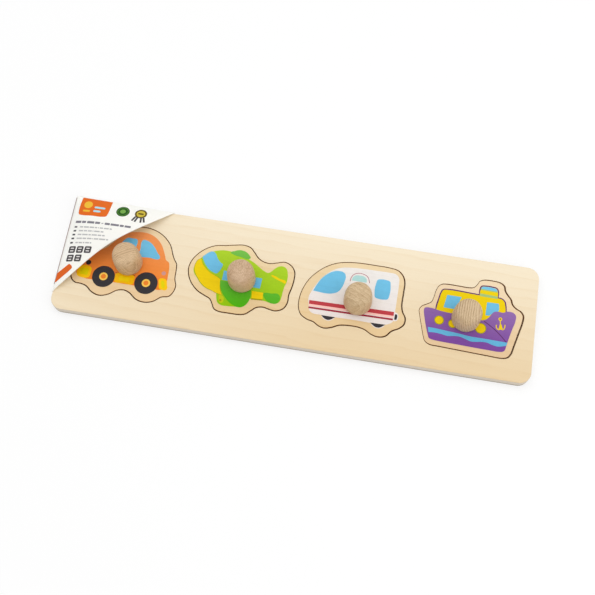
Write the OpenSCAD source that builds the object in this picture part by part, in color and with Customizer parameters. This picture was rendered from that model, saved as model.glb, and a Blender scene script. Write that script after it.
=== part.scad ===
// Peg puzzle with four vehicles: a frame board glued to a backing board, four figures that
// lie in its cut-outs, a screwed-on knob on each, and a folded card over one corner.
// The origin is the centre of the underside. X runs along the board, Y to its far edge.

/* [Board] */
// Wood beyond the first and the last figure's field
end_margin = 6.5; // [5:0.5:20]
// Depth of the board from its near edge to its far edge
board_d = 101; // [90:1:140]
// Thickness of the frame board that holds the cut-outs
frame_t = 5.8; // [4.5:0.1:9]
// Thickness of the backing board
backing_t = 3; // [2:0.1:6]
// Radius of the board's four corners
corner_r = 10; // [4:0.5:20]

/* [Figures] */
// Size of the field that each figure's outline is drawn in
field_w = 100; // [90:1:120]
// Distance between two figures' centres, as a share of the field
pitch_share = 0.96; // [0.94:0.01:1.1]
// Gap between a figure and its cut-out, all the way round a figure that lies in the middle
cut_gap = 0.8; // [0.5:0.05:1.2]
// Straight pieces in one span of an outline
span_steps = 5; // [3:1:8]

/* [Knobs] */
// Greatest diameter of a knob
knob_d = 23.4; // [18:0.1:28]
// Height of a knob above its figure
knob_h = 24; // [16:0.1:26]

/* [Screws] */
// Length of a screw with its head
screw_len = 16; // [12:0.5:18]
// Diameter of a screw over its thread
thread_d = 3.5; // [3:0.1:4]
// Diameter of a screw at the root of its thread
core_d = 2.5; // [2:0.1:2.8]
// Distance from one ridge of the thread to the next
thread_pitch = 1.4; // [1:0.1:2]
// Diameter of a screw's countersunk head
head_d = 6.8; // [6:0.1:8]
// Depth of a screw's head below the figure's underside
head_sink = 0.3; // [0.1:0.05:0.6]
// Length of each slot of the cross in a screw's head
cross_len = 3.8; // [3:0.1:4.5]
// Width of each slot of the cross
cross_w = 0.8; // [0.5:0.1:1]
// Depth of the cross
cross_depth = 1.2; // [0.8:0.1:1.4]
// Clearance round a screw in the wood
screw_gap = 0.1; // [0.05:0.01:0.2]

/* [Corner card] */
// Thickness of the card
card_t = 0.4; // [0.3:0.05:0.6]
// Height of the middle of the card's free edge above the board
card_bow = 14; // [6:0.5:16]
// Space between the line under the card's free edge and the nearest knob
card_knob_gap = 5.1; // [2:0.1:9]
// How far the card's corner stands out past its fold lines on the board, both ways
corner_out = 1.5; // [0:0.1:3]
// Height of the card's corner above the board
corner_rise = 2; // [0:0.1:4]
// Space between the card's flaps and the board's edges
flap_gap = 0.3; // [0.2:0.05:0.5]
// Wood left uncovered below the card's flaps
flap_rise = 0.8; // [0.5:0.1:2]
// Distance from the card's corner to the start of each flap
flap_start = 3; // [1:0.5:15]
// Straight pieces in the card's free edge
card_steps = 24; // [8:1:40]

/* [Hidden] */
$fn = 96;

// What the cuts run past the faces that they open
overrun = 1;

// Outlines of the figures, clockwise from the top, as shares of the field from its centre
car_outline_shares = [
    [0.051, 0.334], [0.140, 0.330], [0.240, 0.292], [0.326, 0.214], [0.372, 0.120],
    [0.392, 0.084], [0.418, 0.048], [0.428, -0.015], [0.434, -0.088], [0.454, -0.146],
    [0.444, -0.208], [0.416, -0.248], [0.358, -0.264], [0.297, -0.313], [0.225, -0.332],
    [0.154, -0.318], [0.083, -0.268], [0.033, -0.254], [-0.022, -0.267], [-0.084, -0.312],
    [-0.156, -0.334], [-0.226, -0.314], [-0.284, -0.270], [-0.332, -0.256], [-0.386, -0.252],
    [-0.424, -0.220], [-0.442, -0.166], [-0.447, -0.095], [-0.428, -0.012], [-0.374, 0.054],
    [-0.300, 0.094], [-0.236, 0.132], [-0.182, 0.200], [-0.116, 0.270], [-0.036, 0.318]];
plane_outline_shares = [
    [-0.020, 0.311], [0.046, 0.298], [0.090, 0.257], [0.126, 0.217], [0.170, 0.191],
    [0.230, 0.181], [0.290, 0.196], [0.355, 0.214], [0.412, 0.192], [0.450, 0.143],
    [0.458, 0.080], [0.452, 0.004], [0.438, -0.070], [0.438, -0.142], [0.412, -0.198],
    [0.354, -0.227], [0.294, -0.221], [0.244, -0.212], [0.193, -0.224], [0.150, -0.262],
    [0.110, -0.296], [0.050, -0.309], [-0.030, -0.310], [-0.106, -0.309], [-0.150, -0.292],
    [-0.173, -0.254], [-0.202, -0.212], [-0.250, -0.190], [-0.315, -0.159], [-0.375, -0.106],
    [-0.416, -0.040], [-0.433, 0.035], [-0.419, 0.105], [-0.384, 0.166], [-0.325, 0.225],
    [-0.250, 0.267], [-0.160, 0.284], [-0.090, 0.299]];
van_outline_shares = [
    [0.020, 0.310], [0.150, 0.311], [0.275, 0.308], [0.346, 0.294], [0.392, 0.250],
    [0.411, 0.195], [0.412, 0.100], [0.412, -0.010], [0.426, -0.063], [0.454, -0.115],
    [0.450, -0.170], [0.415, -0.209], [0.358, -0.243], [0.313, -0.294], [0.255, -0.310],
    [0.195, -0.296], [0.142, -0.267], [0.080, -0.253], [-0.015, -0.254], [-0.075, -0.265],
    [-0.130, -0.292], [-0.185, -0.307], [-0.234, -0.297], [-0.284, -0.268], [-0.340, -0.254],
    [-0.396, -0.220], [-0.426, -0.158], [-0.430, -0.075], [-0.414, 0.013], [-0.378, 0.098],
    [-0.321, 0.173], [-0.250, 0.236], [-0.165, 0.280], [-0.075, 0.301]];
ship_outline_shares = [
    [-0.215, 0.242], [-0.120, 0.243], [-0.030, 0.241], [0.019, 0.249], [0.046, 0.280],
    [0.064, 0.313], [0.102, 0.331], [0.172, 0.334], [0.236, 0.326], [0.269, 0.302],
    [0.281, 0.260], [0.306, 0.224], [0.332, 0.194], [0.349, 0.150], [0.380, 0.120],
    [0.420, 0.100], [0.444, 0.066], [0.443, 0.018], [0.412, -0.114], [0.386, -0.220],
    [0.372, -0.274], [0.348, -0.309], [0.305, -0.323], [0.180, -0.321], [-0.020, -0.314],
    [-0.200, -0.307], [-0.286, -0.302], [-0.324, -0.280], [-0.342, -0.240], [-0.369, -0.150],
    [-0.394, -0.058], [-0.402, -0.018], [-0.386, 0.015], [-0.344, 0.042], [-0.311, 0.066],
    [-0.297, 0.106], [-0.286, 0.165], [-0.270, 0.210], [-0.246, 0.234]];
outline_shares = [car_outline_shares, plane_outline_shares, van_outline_shares,
    ship_outline_shares];

// Places of the knobs, as shares of the field from its centre
knob_place_shares = [[0.026, -0.013], [0.030, -0.007], [0.048, -0.044], [-0.024, -0.041]];

// How far each figure lies off the middle of its cut-out, as shares of the gap between them
seat_shift_shares = [[0.15, 0.12], [-0.15, 0.18], [-0.35, 0.18], [-0.6, 0.05]];

// Half section of a knob from its foot to its crown, as shares of its radius and its height
knob_section_shares = [
    [0.86, 0], [0.95, 0.03], [0.985, 0.08], [1, 0.18], [0.995, 0.34], [0.98, 0.52],
    [0.955, 0.68], [0.905, 0.82], [0.81, 0.92], [0.62, 0.976], [0.31, 0.997], [0, 1]];

// Length of a screw's plain tip, as a share of its thread's diameter
screw_tip_share = 0.9;

count = len(outline_shares);
pitch = field_w * pitch_share;
board_w = count * pitch + 2 * end_margin;
board_t = backing_t + frame_t;
head_h = (head_d - core_d) / 2;
pilot_depth = screw_len + head_sink - frame_t + screw_gap;

// Length of the card's left side, as a share of its far side
card_side_share = 1.035;

// Where a flap joins the card, as shares of the card's thickness: how far the flap lies inside
// the card's edge, and how high it reaches from the card's underside
flap_inset_share = 0.25;
flap_reach_share = 0.7;

// The card's folds end beside the board, on lines that meet outside its far left corner
fold_out = flap_gap + card_t * (1 + flap_inset_share);
fold_x = -board_w / 2 - fold_out;
fold_y = board_d / 2 + fold_out;
card_leg = knob_x(0) - fold_x + (fold_y - knob_y(0)) / card_side_share
    - (knob_d / 2 + card_knob_gap) * norm([1, 1 / card_side_share]);
card_side = card_leg * card_side_share;
card_corner = [fold_x - corner_out, fold_y + corner_out, board_t + corner_rise];
flap_drop = board_t - flap_rise;

function field_x(i) = (i - (count - 1) / 2) * pitch;
function knob_x(i) = field_x(i) + knob_place_shares[i].x * field_w;
function knob_y(i) = knob_place_shares[i].y * field_w;

// A point between a and b, where t lies between the marks ta and tb
function between(a, b, ta, tb, t) = (a * (tb - t) + b * (t - ta)) / (tb - ta);
function mark(t, a, b) = t + sqrt(norm(b - a));

// A point of the smooth curve that runs from b to c, with a before and d after them
function curve_point(a, b, c, d, part) =
    let (ta = 0, tb = mark(ta, a, b), tc = mark(tb, b, c), td = mark(tc, c, d))
    let (t = tb + (tc - tb) * part)
    let (ab = between(a, b, ta, tb, t), bc = between(b, c, tb, tc, t))
    let (cd = between(c, d, tc, td, t))
    between(between(ab, bc, ta, tc, t), between(bc, cd, tb, td, t), tb, tc, t);

// The closed curve through a list of points
function closed_curve(points) =
    let (n = len(points))
    [for (i = [0:n - 1], s = [0:span_steps - 1])
        curve_point(points[(i + n - 1) % n], points[i], points[(i + 1) % n],
            points[(i + 2) % n], s / span_steps)];

// The open curve through a list of points, whose end spans start and end straight
function open_curve(points) =
    let (n = len(points))
    let (first = 2 * points[0] - points[1], last = 2 * points[n - 1] - points[n - 2])
    let (all = concat([first], points, [last]))
    [for (i = [0:n - 2], s = [0:span_steps]) if (s < span_steps || i == n - 2)
        curve_point(all[i], all[i + 1], all[i + 2], all[i + 3], s / span_steps)];

// A clockwise closed outline, moved outwards by grow along its normals
function grown(points, grow) =
    let (n = len(points))
    [for (i = [0:n - 1])
        let (run = points[(i + 1) % n] - points[(i + n - 1) % n])
        points[i] + [-run.y, run.x] * grow / norm(run)];

module figure_outline(i, grow) {
    translate([field_x(i), 0])
        polygon(grown(closed_curve(outline_shares[i] * field_w), grow));
}

module rounded_plate(t) {
    linear_extrude(t) {
        square([board_w - 2 * corner_r, board_d], center = true);
        square([board_w, board_d - 2 * corner_r], center = true);
        for (x = [-1, 1], y = [-1, 1])
            translate([x * (board_w / 2 - corner_r), y * (board_d / 2 - corner_r)])
                circle(r = corner_r);
    }
}

// The outline of a screw's right half, from its head down to its tip
function screw_section() =
    let (ridges = floor((screw_len - head_h - screw_tip_share * thread_d) / thread_pitch))
    let (start = screw_len - screw_tip_share * thread_d - ridges * thread_pitch)
    concat(
        [[0, 0], [head_d / 2, 0], [core_d / 2, head_h], [core_d / 2, start]],
        [for (k = [0:ridges - 1], s = [0:1])
            [(s == 0 ? thread_d : core_d) / 2, start + (k + (s + 1) / 2) * thread_pitch]],
        [[0, screw_len]]);

module screw(i) {
    translate([knob_x(i), knob_y(i), backing_t + head_sink])
        difference() {
            rotate_extrude() polygon(screw_section());
            for (turn = [0, 90])
                rotate([0, 0, turn])
                    translate([-cross_len / 2, -cross_w / 2, -overrun])
                        cube([cross_len, cross_w, cross_depth + overrun]);
        }
}

module piece(i) {
    difference() {
        translate([0, 0, backing_t])
            linear_extrude(frame_t)
                translate(seat_shift_shares[i] * cut_gap) figure_outline(i, -cut_gap / 2);
        translate([knob_x(i), knob_y(i), backing_t]) {
            translate([0, 0, -overrun])
                cylinder(d = thread_d + 2 * screw_gap, h = frame_t + 2 * overrun);
            translate([0, 0, -overrun])
                cylinder(d = head_d + 2 * screw_gap, h = head_sink + overrun);
            translate([0, 0, head_sink])
                cylinder(d1 = head_d + 2 * screw_gap, d2 = core_d + 2 * screw_gap, h = head_h);
        }
    }
}

module knob(i) {
    section = [for (p = knob_section_shares) [p.x * knob_d / 2, p.y * knob_h]];
    translate([knob_x(i), knob_y(i), board_t])
        difference() {
            rotate_extrude() polygon(concat([[0, 0]], open_curve(section)));
            translate([0, 0, -overrun])
                cylinder(d = thread_d + 2 * screw_gap, h = pilot_depth + overrun);
        }
}

// A point of the card's free edge: it keeps its distance from the corner, so it draws in as
// it bows up
function card_edge(s) =
    let (flat = [card_leg * (1 - s), -card_side * s], rise = card_bow * sin(180 * s))
    let (part = sqrt(1 - pow(rise / norm(flat), 2)))
    [fold_x + flat.x * part, fold_y + flat.y * part, board_t + rise];

// The top of the card: straight lines from its corner out to its free edge
module card_panel() {
    edge = [for (k = [0:card_steps]) card_edge(k / card_steps)];
    up = [0, 0, card_t];
    points = concat([card_corner, card_corner + up], edge, [for (p = edge) p + up]);
    low = 2;
    top = low + len(edge);
    last = card_steps;
    polyhedron(points, concat(
        [for (k = [0:last - 1]) [1, top + k, top + k + 1]],
        [for (k = [0:last - 1]) [0, low + k + 1, low + k]],
        [for (k = [0:last - 1]) [top + k + 1, top + k, low + k]],
        [for (k = [0:last - 1]) [top + k + 1, low + k, low + k + 1]],
        [[top, 1, 0], [top, 0, low], [1, top + last, low + last], [1, low + last, 0]]));
}

// A flap under a fold of a given length, with a slanted end below the end of the free edge
module flap_shape(length) {
    end = length - 2 * card_t;
    reach = card_t * flap_reach_share;
    polygon([[flap_start, corner_rise * (1 - flap_start / length) + reach],
        [end, corner_rise * (1 - end / length) + reach],
        [end - flap_drop, -flap_drop], [flap_start, -flap_drop]]);
}

// The flap under the fold from the card's corner to an end of its free edge: side is 1 where
// the card lies to the right of that fold, seen along it, and -1 where it lies to the left
module flap(end, side) {
    run = [end.x - card_corner.x, end.y - card_corner.y];
    translate([card_corner.x, card_corner.y, board_t])
        rotate([90, 0, atan2(run.y, run.x)])
            translate([0, 0, side * flap_inset_share * card_t + (side - 1) * card_t / 2])
                linear_extrude(card_t) flap_shape(norm(run));
}

module card() {
    card_panel();
    flap(card_edge(0), 1);
    flap(card_edge(1), -1);
}

module backing_board() { color("burlywood") rounded_plate(backing_t); }
module frame_board() {
    color("wheat") difference() {
        translate([0, 0, backing_t]) rounded_plate(frame_t);
        for (i = [0:count - 1])
            translate([0, 0, backing_t - overrun])
                linear_extrude(frame_t + 2 * overrun) figure_outline(i, cut_gap / 2);
    }
}
module car_piece() { color("darkorange") piece(0); }
module plane_piece() { color("yellowgreen") piece(1); }
module van_piece() { color("whitesmoke") piece(2); }
module ship_piece() { color("mediumpurple") piece(3); }
module car_knob() { color("tan") knob(0); }
module plane_knob() { color("tan") knob(1); }
module van_knob() { color("tan") knob(2); }
module ship_knob() { color("tan") knob(3); }
module car_screw() { color("silver") screw(0); }
module plane_screw() { color("silver") screw(1); }
module van_screw() { color("silver") screw(2); }
module ship_screw() { color("silver") screw(3); }
module corner_label() { color("white") card(); }

backing_board();
frame_board();
car_piece();
plane_piece();
van_piece();
ship_piece();
car_knob();
plane_knob();
van_knob();
ship_knob();
car_screw();
plane_screw();
van_screw();
ship_screw();
corner_label();
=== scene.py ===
import bpy
import bmesh
import math
from mathutils import Matrix, Vector


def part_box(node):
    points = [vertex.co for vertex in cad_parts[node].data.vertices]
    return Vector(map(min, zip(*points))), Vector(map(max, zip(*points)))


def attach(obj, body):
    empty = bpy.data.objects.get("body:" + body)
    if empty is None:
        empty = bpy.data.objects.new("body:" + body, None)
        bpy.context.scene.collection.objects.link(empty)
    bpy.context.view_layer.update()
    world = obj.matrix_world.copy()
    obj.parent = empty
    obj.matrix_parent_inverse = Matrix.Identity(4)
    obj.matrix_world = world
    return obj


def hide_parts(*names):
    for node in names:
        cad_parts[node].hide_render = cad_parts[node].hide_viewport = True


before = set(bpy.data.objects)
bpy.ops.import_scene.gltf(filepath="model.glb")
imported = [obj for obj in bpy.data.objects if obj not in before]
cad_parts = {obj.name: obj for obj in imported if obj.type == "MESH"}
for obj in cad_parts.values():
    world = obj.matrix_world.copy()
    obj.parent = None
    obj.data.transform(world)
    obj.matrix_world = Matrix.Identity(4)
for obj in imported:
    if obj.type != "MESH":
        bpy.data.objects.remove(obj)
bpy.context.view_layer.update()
print("frame loaded")

mm = 0.001
boardLow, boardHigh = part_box("frame_board")
boardTop = boardHigh.z
backTop = boardLow.z


# Camera at the photo's place, lengths in mm
cameraLook = {
    "place": (56.8, -268.4, 699.4),
    "target": (3.73, -8.39, 8.8),
    "roll": -1.83,  # degrees
    "focal": 54.17,
    "shift": (-0.00084, 0.00084),
}


def addObject(name, data):
    made = bpy.data.objects.new(name, data)
    bpy.context.scene.collection.objects.link(made)
    return made


def aimed(place, target):  # stands at the place and looks at the target
    return Matrix.Translation(place) @ (
        target - place).to_track_quat("-Z", "Y").to_matrix().to_4x4()


def makeCamera(look):
    data = bpy.data.cameras.new("photoCamera")
    data.lens = look["focal"]
    data.shift_x, data.shift_y = look["shift"]
    camera = addObject("photoCamera", data)
    camera.matrix_world = aimed(Vector(look["place"]) * mm, Vector(look["target"]) * mm) @ (
        Matrix.Rotation(math.radians(look["roll"]), 4, "Z"))
    bpy.context.scene.camera = camera


makeCamera(cameraLook)


def tone(red, green, blue):  # a screen colour, 0 to 255, as the linear colour that a shader takes
    def straight(value):
        share = value / 255
        return share / 12.92 if share <= 0.04045 else ((share + 0.055) / 1.055) ** 2.4
    return (straight(red), straight(green), straight(blue), 1.0)


def setInputs(tree, node, values):  # each value is another node's output, or a plain value
    for name, value in values.items():
        if isinstance(value, bpy.types.NodeSocket):
            tree.links.new(value, node.inputs[name])
        else:
            node.inputs[name].default_value = value


def addNode(tree, kind, inputs=None, **settings):
    made = tree.nodes.new(kind)
    for name, value in settings.items():
        setattr(made, name, value)
    setInputs(tree, made, inputs or {})
    return made


def calc(tree, kind, first, second=0.0):
    return addNode(tree, "ShaderNodeMath", {0: first, 1: second}, operation=kind).outputs[0]


def remap(tree, value, ends, start=(0.0, 1.0)):  # the range start becomes the range ends
    return addNode(tree, "ShaderNodeMapRange", {
        "Value": value, "From Min": start[0], "From Max": start[1],
        "To Min": ends[0], "To Max": ends[1]}).outputs[0]


def addRamp(tree, value, stops):  # stops are (place, colour or grey)
    ramp = addNode(tree, "ShaderNodeValToRGB", {"Fac": value})
    while len(ramp.color_ramp.elements) < len(stops):
        ramp.color_ramp.elements.new(0.5)
    for element, (place, shade) in zip(ramp.color_ramp.elements, stops):
        element.position = place
        element.color = shade if isinstance(shade, tuple) else (shade, shade, shade, 1)
    return ramp.outputs["Color"]


def mixColour(tree, share, first, second, blend="MIX"):
    node = addNode(tree, "ShaderNodeMix", data_type="RGBA", blend_type=blend)
    setInputs(tree, node, {0: share, 6: first, 7: second})
    return node.outputs[2]


def startGroup(name, inputs, outputs):
    group = bpy.data.node_groups.new(name, "ShaderNodeTree")
    for label, kind, value in inputs:
        socket = group.interface.new_socket(label, in_out="INPUT", socket_type=kind)
        if value is not None:
            socket.default_value = value
    for label, kind in outputs:
        group.interface.new_socket(label, in_out="OUTPUT", socket_type=kind)
    source = addNode(group, "NodeGroupInput")
    return group, source.outputs, addNode(group, "NodeGroupOutput")


def useGroup(tree, group, inputs):
    return addNode(tree, "ShaderNodeGroup", inputs, node_tree=group).outputs


# Wood with its grain along X of the vector, in millimetres
def makeWoodGrain():
    group, given, result = startGroup("woodGrain", [
        ("Vector", "NodeSocketVector", None),
        ("Pale", "NodeSocketColor", (0.8, 0.7, 0.5, 1)),
        ("Deep", "NodeSocketColor", (0.6, 0.5, 0.3, 1)),
        ("Pore Colour", "NodeSocketColor", (0.4, 0.3, 0.2, 1)),
        ("Streaks", "NodeSocketFloat", 0.5),
        ("Pores", "NodeSocketFloat", 0.3),
        ("Ring Width", "NodeSocketFloat", 4.0),
        ("Ring Share", "NodeSocketFloat", 0.45),
        ("Bend", "NodeSocketFloat", 14.0)],
        [("Color", "NodeSocketColor"), ("Height", "NodeSocketFloat"), ("Rough", "NodeSocketFloat")])
    long = addNode(group, "ShaderNodeMapping", {"Vector": given["Vector"], "Scale": (0.012, 0.16, 0.16)})
    broad = addNode(group, "ShaderNodeTexNoise", {
        "Vector": long.outputs[0], "Scale": 1.0, "Detail": 3.0, "Roughness": 0.55, "Distortion": 0.4})
    fineMap = addNode(group, "ShaderNodeMapping", {"Vector": given["Vector"], "Scale": (0.05, 1.6, 1.6)})
    fine = addNode(group, "ShaderNodeTexNoise", {
        "Vector": fineMap.outputs[0], "Scale": 1.0, "Detail": 4.0, "Roughness": 0.6})
    sway = addNode(group, "ShaderNodeVectorMath", {
        0: broad.outputs["Color"], 3: given["Bend"]}, operation="SCALE")
    bent = addNode(group, "ShaderNodeVectorMath", {
        0: given["Vector"], 1: sway.outputs[0]}, operation="ADD")
    ringMap = addNode(group, "ShaderNodeVectorMath", {
        0: bent.outputs[0], 1: (0.03, 1.0, 0.0)}, operation="MULTIPLY")
    parts = addNode(group, "ShaderNodeSeparateXYZ", {"Vector": ringMap.outputs[0]})
    across = calc(group, "ADD", parts.outputs["X"], parts.outputs["Y"])
    ring = calc(group, "FRACT", calc(group, "DIVIDE", across, given["Ring Width"]))
    ringTone = addRamp(group, ring, [(0.0, 0.0), (0.72, 0.45), (0.9, 1.0), (1.0, 0.0)])
    uneven = addRamp(group, broad.outputs["Fac"], [(0.35, 0.45), (0.6, 1.3)])
    ringPart = calc(group, "MULTIPLY", uneven, given["Ring Share"])
    streak = mixColour(group, ringPart, fine.outputs["Fac"], ringTone)
    streak = mixColour(group, 0.35, streak, broad.outputs["Fac"])
    spread = addRamp(group, streak, [(0.25, 0.0), (0.7, 1.0)])
    amount = calc(group, "MULTIPLY", spread, given["Streaks"])
    wood = mixColour(group, amount, given["Pale"], given["Deep"])
    poreMap = addNode(group, "ShaderNodeMapping", {"Vector": given["Vector"], "Scale": (0.32, 3.4, 3.4)})
    pore = addNode(group, "ShaderNodeTexNoise", {
        "Vector": poreMap.outputs[0], "Scale": 1.0, "Detail": 1.0})
    poreMask = addRamp(group, pore.outputs["Fac"], [(0.62, 0.0), (0.72, 1.0)])
    poreAmount = calc(group, "MULTIPLY", poreMask, given["Pores"])
    setInputs(group, result, {
        "Color": mixColour(group, poreAmount, wood, given["Pore Colour"]),
        "Height": calc(group, "SUBTRACT", streak, poreAmount),
        "Rough": remap(group, streak, (0.42, 0.6))})
    return group


woodGrain = makeWoodGrain()


def startMaterial(name, turn=(0, 0, 0), shift=(0, 0, 0)):  # object coordinates in mm
    material = bpy.data.materials.new(name)
    material.use_nodes = True
    tree = material.node_tree
    shader = tree.nodes["Principled BSDF"]
    place = addNode(tree, "ShaderNodeTexCoord").outputs["Object"]
    mapped = addNode(tree, "ShaderNodeMapping", {
        "Vector": place, "Scale": (1 / mm, 1 / mm, 1 / mm),
        "Rotation": [math.radians(angle) for angle in turn], "Location": shift})
    return material, tree, shader, mapped.outputs[0]


def finishShader(tree, shader, look, colour, rough, height):  # relief in mm
    bump = addNode(tree, "ShaderNodeBump", {"Height": height, "Distance": look["relief"] * mm})
    setInputs(tree, shader, {"Base Color": colour, "Roughness": rough,
        "Normal": bump.outputs[0], "Specular IOR Level": look["shine"]})


def makeWood(name, look):
    material, tree, shader, spot = startMaterial(name, turn=look.get("turn", (0, 0, 0)),
        shift=look.get("shift", (0, 0, 0)))
    grain = useGroup(tree, woodGrain, {
        "Vector": spot, "Pale": look["pale"], "Deep": look["deep"], "Pore Colour": look["pore"],
        "Streaks": look["streaks"], "Pores": look["pores"], "Ring Width": look["rings"],
        "Ring Share": look.get("ringShare", 0.45), "Bend": look.get("bend", 14.0)})
    colour = grain["Color"]
    if "paintedShade" in look:  # painted shade: the tone darkens slowly towards the near side, strongest right of the middle
        place = addNode(tree, "ShaderNodeSeparateXYZ", {
            "Vector": addNode(tree, "ShaderNodeTexCoord").outputs["Object"]})
        along = remap(tree, place.outputs["X"], (look["paintedShadeLeft"], 1.0), look["paintedShadeX"])
        depth = remap(tree, place.outputs["Y"], (0.0, 1.0), look["paintedShadeY"])
        colour = mixColour(tree, calc(tree, "MULTIPLY", along, depth), colour,
            mixColour(tree, 1.0, colour, look["paintedShade"], "MULTIPLY"))
    finishShader(tree, shader, look, colour, grain["Rough"], grain["Height"])
    return material


# Sawn side of a board, whose plies lie flat on each other
def makePlySide(name, look):
    material, tree, shader, spot = startMaterial(name)
    grain = useGroup(tree, woodGrain, {
        "Vector": spot, "Pale": look["pale"], "Deep": look["deep"], "Pore Colour": look["pore"],
        "Streaks": 0.5, "Pores": 0.3, "Ring Width": 3.0})
    parts = addNode(tree, "ShaderNodeSeparateXYZ", {"Vector": spot})
    level = calc(tree, "DIVIDE", parts.outputs["Z"], look["ply"])
    cross = addRamp(tree, calc(tree, "MODULO", level, 2.0), [(0.0, 0.0), (0.98, 0.0), (1.0, 1.0)])
    glue = addRamp(tree, calc(tree, "FRACT", level),
        [(0.0, 1.0), (0.05, 0.0), (0.95, 0.0), (1.0, 1.0)])
    shade = mixColour(tree, cross, grain["Color"], look["crossPly"])
    shade = mixColour(tree, calc(tree, "MULTIPLY", glue, look["glueShare"]), shade, look["glue"])
    finishShader(tree, shader, look, shade, grain["Rough"], grain["Height"])
    return material


# Walls that the laser cut through the wood and charred
def makeBurntCut(name, look):
    material, tree, shader, spot = startMaterial(name)
    squeezed = addNode(tree, "ShaderNodeMapping", {"Vector": spot, "Scale": (1.8, 1.8, 0.12)})
    streak = addNode(tree, "ShaderNodeTexNoise", {
        "Vector": squeezed.outputs[0], "Scale": 1.0, "Detail": 3.0})
    colour = addRamp(tree, streak.outputs["Fac"], [(0.3, look["char"]), (0.7, look["toast"])])
    finishShader(tree, shader, look, colour,
        remap(tree, streak.outputs["Fac"], look["rough"]), streak.outputs["Fac"])
    return material


# Printed ink that lets a little of the wood's grain through
def makeInk(name, look, top, low):
    material, tree, shader, spot = startMaterial(name)
    parts = addNode(tree, "ShaderNodeSeparateXYZ", {"Vector": spot})
    share = remap(tree, parts.outputs["Y"], (0.0, 1.0), look["reach"])
    flat = mixColour(tree, share, low, top)
    grain = useGroup(tree, woodGrain, {
        "Vector": spot, "Pale": (1, 1, 1, 1), "Deep": (0.9, 0.88, 0.86, 1),
        "Pore Colour": (0.8, 0.78, 0.76, 1), "Streaks": 0.5, "Pores": 0.35, "Ring Width": 5.0})
    mottle = addNode(tree, "ShaderNodeTexNoise", {"Vector": spot, "Scale": 0.22, "Detail": 2.0})
    patch = addRamp(tree, mottle.outputs["Fac"], [(0.3, 0.96), (0.7, 1.0)])
    colour = mixColour(tree, 1.0, flat, grain["Color"], "MULTIPLY")
    colour = mixColour(tree, 1.0, colour, patch, "MULTIPLY")
    finishShader(tree, shader, look, colour, remap(tree, grain["Height"], look["rough"]),
        grain["Height"])
    return material


def makeCard(name, look):
    material, tree, shader, spot = startMaterial(name)
    fibre = addNode(tree, "ShaderNodeTexNoise", {"Vector": spot, "Scale": 2.4, "Detail": 4.0})
    colour = addRamp(tree, fibre.outputs["Fac"], [(0.3, look["shade"]), (0.7, look["white"])])
    finishShader(tree, shader, look, colour,
        remap(tree, fibre.outputs["Fac"], look["rough"]), fibre.outputs["Fac"])
    setInputs(tree, shader, {"Subsurface Weight": 1.0, "Subsurface Radius": (1.0, 1.0, 1.0),
        "Subsurface Scale": look["scatter"] * mm})
    return material


def makeSteel(name, look):
    material, tree, shader, spot = startMaterial(name)
    scratch = addNode(tree, "ShaderNodeTexNoise", {"Vector": spot, "Scale": 3.0, "Detail": 5.0})
    colour = addRamp(tree, scratch.outputs["Fac"], [(0.3, look["dull"]), (0.7, look["bright"])])
    finishShader(tree, shader, look, colour,
        remap(tree, scratch.outputs["Fac"], look["rough"]), scratch.outputs["Fac"])
    setInputs(tree, shader, {"Metallic": 1.0})
    return material


boardLook = {
    "pale": tone(243, 230, 204), "deep": tone(234, 214, 180), "pore": tone(218, 194, 156),
    "streaks": 0.55, "pores": 0.12, "rings": 9.0, "relief": 0.03, "shine": 0.3,
    # painted shade: the tint the wood is darkened by towards the near side, and how far that reaches
    "paintedShade": (0.87, 0.77, 0.62, 1), "paintedShadeLeft": 0.35,
    "paintedShadeX": (-0.2, 0.02), "paintedShadeY": (0.05, -0.05),  # where it starts and is whole, in metres
}
figureLook = dict(boardLook, pale=tone(239, 217, 178), deep=tone(229, 201, 155))
figureWoods = {  # each figure lies elsewhere in the grain of its sheet; some have their own tint of painted shade towards the near side
    "car": {"shift": (37, 11, 5), "paintedShade": (0.87, 0.66, 0.45, 1)},
    "plane": {"shift": (-90, 63, 24), "pale": tone(242, 222, 181), "paintedShade": (0.8, 0.66, 0.46, 1)},
    "van": {"shift": (160, -48, 12), "deep": tone(230, 202, 152)},
    "ship": {"shift": (12, 120, -30), "pale": tone(243, 222, 189), "deep": tone(233, 207, 167),
        "paintedShade": (0.8, 0.68, 0.54, 1)},
}
backLook = dict(boardLook, pale=tone(240, 220, 188), deep=tone(226, 200, 160),
    shift=(-60, 40, 9), streaks=0.8)
sideLook = {"pale": tone(219, 212, 201), "deep": tone(205, 193, 176), "pore": tone(188, 169, 145),
    "crossPly": tone(204, 189, 169), "glue": tone(168, 146, 119), "glueShare": 0.35,
    "ply": 1.47, "relief": 0.05, "shine": 0.2}
# painted shade: the backing board's sides are darker and greyer than the frame board's, for the shade
# along the foot of the board
shadedBackSideLook = dict(sideLook, pale=tone(183, 177, 168), deep=tone(168, 159, 146),
    pore=tone(149, 136, 118), crossPly=tone(155, 145, 130), glue=tone(130, 115, 95), ply=1.0)
burntLook = {"char": tone(138, 94, 58), "toast": tone(190, 140, 92), "rough": (0.65, 0.9),
    "relief": 0.08, "shine": 0.1}
cardLook = {"white": tone(251, 248, 242), "shade": tone(247, 244, 237), "scatter": 0.3,
    "rough": (0.3, 0.42), "relief": 0.01, "shine": 0.2}
steelLook = {"bright": tone(205, 205, 208), "dull": tone(160, 160, 165), "rough": (0.25, 0.45),
    "relief": 0.01, "shine": 0.5}
inkLook = {"reach": (-24.0, 24.0), "rough": (0.36, 0.52), "relief": 0.02, "shine": 0.08}
knobLook = {
    "pale": tone(230, 206, 168), "deep": tone(150, 114, 74), "pore": tone(118, 84, 54),
    "streaks": 0.9, "pores": 0.7, "rings": 1.9, "relief": 0.05, "bend": 2.6,
    "ringShare": 0.36, "shine": 0.3,
}
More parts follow.
